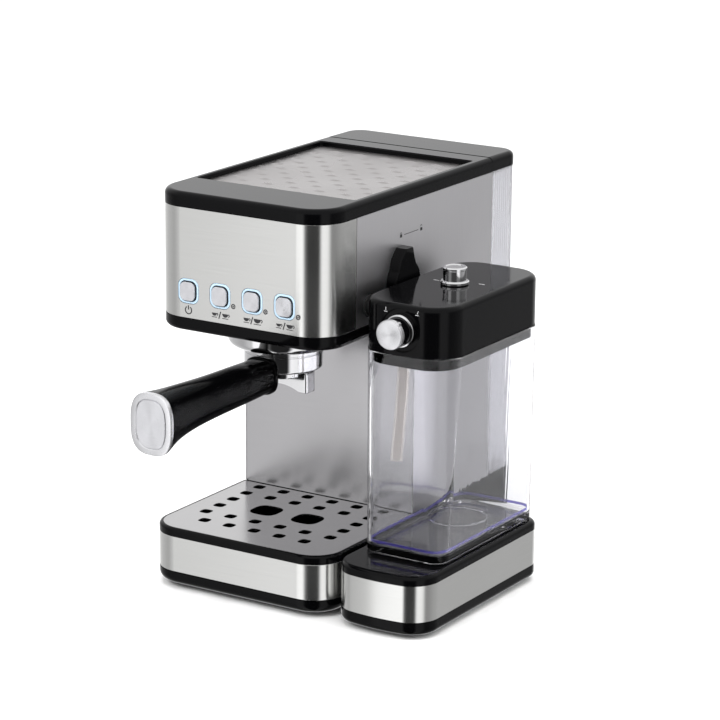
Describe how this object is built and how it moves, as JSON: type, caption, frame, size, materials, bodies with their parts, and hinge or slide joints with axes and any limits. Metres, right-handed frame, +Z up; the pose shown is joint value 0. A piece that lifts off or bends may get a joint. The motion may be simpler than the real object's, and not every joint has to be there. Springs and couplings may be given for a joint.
{
  "type": "espresso machine",
  "caption": "Slim counter-top espresso machine with portafilter, drip tray, rear water tank and a clear milk tank with frothing lid on its right side.",
  "frame": {"origin": "on the resting plane, under the middle of the whole machine's bounding box", "axes": "+Z up, the user stands at -Y, and +X is on the user's right, where the milk tank is"},
  "size_m": [0.244, 0.395, 0.306],
  "materials": {
    "brushed_steel": "fine horizontal brushing, satin",
    "chrome": "polished",
    "cast_aluminium": "as cast",
    "gloss_black": "high gloss",
    "matt_black": "moulded matt",
    "clear_plastic": "clear",
    "silver_cap": "spun",
    "rubber": "matt",
    "silicone_tube": "translucent",
    "circuit_board": "solder mask",
    "light_guide": "frosted, pale blue",
    "pump_plastic": "moulded"
  },
  "bodies": {
    "machine": {"base_plate": "gloss_black", "base_housing": "gloss_black", "foot_front_left": "rubber", "foot_front_right": "rubber", "foot_rear_left": "rubber", "foot_rear_right": "rubber", "cord_gland": "matt_black", "tank_seat": "rubber", "side_panel_left": "brushed_steel", "side_panel_right": "brushed_steel", "column_front_panel": "brushed_steel", "inner_frame": "matt_black", "head_floor": "gloss_black", "head_front_panel": "brushed_steel", "head_liner": "matt_black", "top_frame": "gloss_black", "cup_tray": "brushed_steel", "light_guide": "light_guide", "control_board": "circuit_board", "milk_port": "rubber", "group_head": "chrome", "group_gasket": "rubber", "shower_screen": "brushed_steel", "screen_screw": "brushed_steel", "boiler": "cast_aluminium", "pump": "pump_plastic", "solenoid_valve": "pump_plastic", "main_board": "circuit_board", "inlet_hose": "silicone_tube", "pressure_hose": "silicone_tube", "steam_hose": "silicone_tube", "milk_base": "gloss_black", "milk_base_cover": "matt_black", "milk_base_band": "brushed_steel", "foot_milk_front": "rubber", "foot_milk_rear": "rubber"},
    "portafilter": {"portafilter_bowl": "chrome", "filter_basket": "brushed_steel", "portafilter_spout": "chrome", "portafilter_handle": "gloss_black", "handle_cap": "silver_cap"},
    "drip_tray": {"drip_tray": "gloss_black", "drip_band": "brushed_steel"},
    "drip_grid": {"drip_grid": "brushed_steel"},
    "water_tank": {"water_tank": "clear_plastic", "tank_valve": "matt_black"},
    "water_tank_lid": {"water_tank_lid": "gloss_black"},
    "milk_tank": {"milk_tank": "clear_plastic"},
    "milk_lid": {"milk_lid": "gloss_black", "milk_nozzle": "matt_black", "froth_bezel": "chrome", "suction_tube": "silicone_tube"},
    "froth_knob": {"froth_knob": "gloss_black", "froth_knob_face": "silver_cap"},
    "top_knob": {"top_knob": "chrome"},
    "lock_lever": {"lock_lever": "gloss_black"},
    "button_power": {"button_power": "silver_cap"},
    "button_espresso": {"button_espresso": "silver_cap"},
    "button_cappuccino": {"button_cappuccino": "silver_cap"},
    "button_latte": {"button_latte": "silver_cap"}
  },
  "joints": [
    {"name": "portafilter_twist", "type": "hinge", "parent": "machine", "child": "portafilter", "pos_m": [-0.04235, -0.0276, 0.186], "axis": [0, 0, 1], "range_deg": [-45, 0]},
    {"name": "drip_tray_slide", "type": "slide", "parent": "machine", "child": "drip_tray", "axis": [0, -1, 0], "range_m": [0, 0.135]},
    {"name": "drip_grid_lift", "type": "slide", "parent": "drip_tray", "child": "drip_grid", "axis": [0, 0, 1], "range_m": [0, 0.06]},
    {"name": "water_tank_lift", "type": "slide", "parent": "machine", "child": "water_tank", "axis": [0, 0, 1], "range_m": [0, 0.265]},
    {"name": "tank_lid_hinge", "type": "hinge", "parent": "water_tank", "child": "water_tank_lid", "pos_m": [-0.04235, 0.1928, 0.295], "axis": [-1, 0, 0], "range_deg": [0, 100]},
    {"name": "milk_tank_slide", "type": "slide", "parent": "machine", "child": "milk_tank", "axis": [1, 0, 0], "range_m": [0, 0.09]},
    {"name": "milk_lid_lift", "type": "slide", "parent": "milk_tank", "child": "milk_lid", "axis": [0, 0, 1], "range_m": [0, 0.095]},
    {"name": "froth_knob_turn", "type": "hinge", "parent": "milk_lid", "child": "froth_knob", "pos_m": [0.08235, -0.069, 0.2216], "axis": [0, -1, 0], "range_deg": [-35, 35]},
    {"name": "top_knob_turn", "type": "hinge", "parent": "milk_lid", "child": "top_knob", "pos_m": [0.08235, 0.0115, 0.2405], "axis": [0, 0, 1], "range_deg": [0, 90]},
    {"name": "lock_lever_turn", "type": "hinge", "parent": "machine", "child": "lock_lever", "pos_m": [0.03465, 0.0105, 0.236], "axis": [1, 0, 0], "range_deg": [-40, 0]},
    {"name": "button_power_press", "type": "slide", "parent": "machine", "child": "button_power", "axis": [0, 1, 0], "range_m": [0, 0.0012], "stiffness_N_per_m": 800},
    {"name": "button_espresso_press", "type": "slide", "parent": "machine", "child": "button_espresso", "axis": [0, 1, 0], "range_m": [0, 0.0012], "stiffness_N_per_m": 800},
    {"name": "button_cappuccino_press", "type": "slide", "parent": "machine", "child": "button_cappuccino", "axis": [0, 1, 0], "range_m": [0, 0.0012], "stiffness_N_per_m": 800},
    {"name": "button_latte_press", "type": "slide", "parent": "machine", "child": "button_latte", "axis": [0, 1, 0], "range_m": [0, 0.0012], "stiffness_N_per_m": 800}
  ]
}
